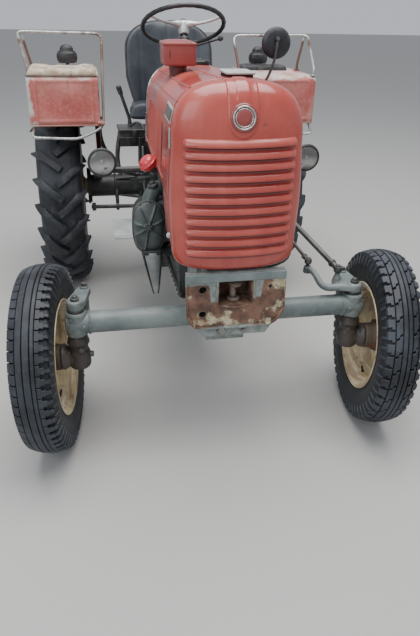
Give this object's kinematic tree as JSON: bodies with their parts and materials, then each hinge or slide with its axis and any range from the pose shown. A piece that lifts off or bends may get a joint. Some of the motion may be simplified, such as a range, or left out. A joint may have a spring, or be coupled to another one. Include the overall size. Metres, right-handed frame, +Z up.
{
  "type": "farm tractor",
  "caption": "Light two-axle farm tractor with louvred nose, open driver's seat, tube front axle with steered wheels and flat fenders with hand rails.",
  "frame": {"origin": "on the ground under the middle of the whole tractor", "axes": "+Z up, front of the tractor towards -Y, the tractor's left towards +X"},
  "size_m": [1.523, 2.5835, 1.5472],
  "materials": {
    "red_paint": "faded, worn red paint",
    "fender_paint": "chalky faded red paint with worn edges",
    "grey_paint": "blue-grey paint",
    "casting_paint": "oily dark casting",
    "housing_paint": "dull grey-green paint",
    "rusty_plate": "rusted plate with traces of grey paint",
    "rim_paint": "worn cream-yellow paint, brown with dirt",
    "tyre": "blue-black rubber",
    "bare_steel": "dull worn steel",
    "tube_zinc": "grey tube, rusty at its lower ends",
    "black_plastic": "matt black",
    "black_metal": "black paint",
    "seat_vinyl": "dark blue-grey cover with piping",
    "cushion_left": "mottled beige cover",
    "cushion_right": "dark cover",
    "horn_red": "bright red",
    "mirror_black": "black shell"
  },
  "bodies": {
    "chassis": {"engine_block": "casting_paint", "radiator": "black_metal", "cooling_housing": "housing_paint", "gearbox_housing": "casting_paint", "rear_axle_housing": "casting_paint", "front_bolster": "rusty_plate", "tow_pin": "bare_steel", "front_axle_tube": "grey_paint", "steering_box": "casting_paint", "nose_cowl": "red_paint", "bonnet": "red_paint", "dash_panel": "red_paint", "intake_box": "red_paint", "headlight_left": "black_metal", "headlight_right": "black_metal", "horn": "horn_red", "fender_left": "fender_paint", "fender_right": "fender_paint", "fender_cushion_left": "cushion_right", "fender_cushion_right": "cushion_left", "fender_rail_left": "tube_zinc", "fender_rail_right": "tube_zinc", "fender_lamps": "black_plastic", "mirror": "mirror_black", "driver_seat": "seat_vinyl", "seat_bracket": "black_metal", "battery_box": "black_metal", "hand_levers": "black_metal", "footboards": "black_metal", "rear_hitch": "black_metal"},
    "left_knuckle": {"knuckle_left": "grey_paint"},
    "right_knuckle": {"knuckle_right": "grey_paint"},
    "tie_rod": {"tie_rod": "bare_steel"},
    "drag_link": {"drag_link": "bare_steel"},
    "steering_link": {"steering_link": "bare_steel"},
    "drop_arm": {"drop_arm": "black_metal"},
    "steering_wheel": {"steering_wheel": "black_plastic"},
    "front_wheel_left": {"front_rim_left": "rim_paint", "front_tyre_left": "tyre"},
    "front_wheel_right": {"front_rim_right": "rim_paint", "front_tyre_right": "tyre"},
    "rear_wheel_left": {"rear_rim_left": "rim_paint", "rear_tyre_left": "tyre"},
    "rear_wheel_right": {"rear_rim_right": "rim_paint", "rear_tyre_right": "tyre"}
  },
  "joints": [
    {"name": "steer_left", "type": "hinge", "parent": "chassis", "child": "left_knuckle", "pos_m": [0.535, -0.93, 0.5], "axis": [0, 0, 1], "range_deg": [-30.5, 45.5]},
    {"name": "steer_right", "type": "hinge", "parent": "chassis", "child": "right_knuckle", "pos_m": [-0.535, -0.93, 0.5], "axis": [0, 0, 1], "range_deg": [-31.5, 46.5]},
    {"name": "tie_rod_end", "type": "hinge", "parent": "right_knuckle", "child": "tie_rod", "pos_m": [-0.50149, -0.81338, 0.415], "axis": [0, 0, 1], "range_deg": [-47.41, 32.11]},
    {"name": "drag_link_end", "type": "hinge", "parent": "left_knuckle", "child": "drag_link", "pos_m": [0.481, -0.88053, 0.627], "axis": [0, 0, 1], "range_deg": [-49, 33.18]},
    {"name": "steering_link_end", "type": "hinge", "parent": "left_knuckle", "child": "steering_link", "pos_m": [0.37504, -0.82724, 0.645], "axis": [0, 0, 1], "range_deg": [-51.78, 35.04]},
    {"name": "drop_arm_pivot", "type": "hinge", "parent": "chassis", "child": "drop_arm", "pos_m": [0.24, -0.23, 0.927], "axis": [1, 0, 0], "range_deg": [-35.12, 23.88]},
    {"name": "steering_wheel_turn", "type": "hinge", "parent": "chassis", "child": "steering_wheel", "pos_m": [0, -0.014, 1.455], "axis": [0, 0.454, 0.891], "range_deg": [-401.5, 596.5]},
    {"name": "front_wheel_left_spin", "type": "hinge", "parent": "left_knuckle", "child": "front_wheel_left", "pos_m": [0.64109, -0.94397, 0.35254], "axis": [0.9905, -0.1304, -0.0436], "continuous": true},
    {"name": "front_wheel_right_spin", "type": "hinge", "parent": "right_knuckle", "child": "front_wheel_right", "pos_m": [-0.64109, -0.91603, 0.35254], "axis": [0.9905, -0.1304, 0.0436], "continuous": true},
    {"name": "rear_wheel_left_spin", "type": "hinge", "parent": "chassis", "child": "rear_wheel_left", "pos_m": [0.608, 0.73, 0.558], "axis": [1, 0, 0], "continuous": true},
    {"name": "rear_wheel_right_spin", "type": "hinge", "parent": "chassis", "child": "rear_wheel_right", "pos_m": [-0.608, 0.73, 0.558], "axis": [1, 0, 0], "continuous": true}
  ],
  "couplings": [
    {"joint": "steer_right", "follows": "steer_left", "ratio": 1},
    {"joint": "tie_rod_end", "follows": "steer_left", "ratio": -1.02},
    {"joint": "drag_link_end", "follows": "steer_left", "ratio": -1.055},
    {"joint": "steering_link_end", "follows": "steer_left", "ratio": -1.116},
    {"joint": "drop_arm_pivot", "follows": "steer_left", "ratio": -0.75},
    {"joint": "steering_wheel_turn", "follows": "steer_left", "ratio": 13}
  ]
}
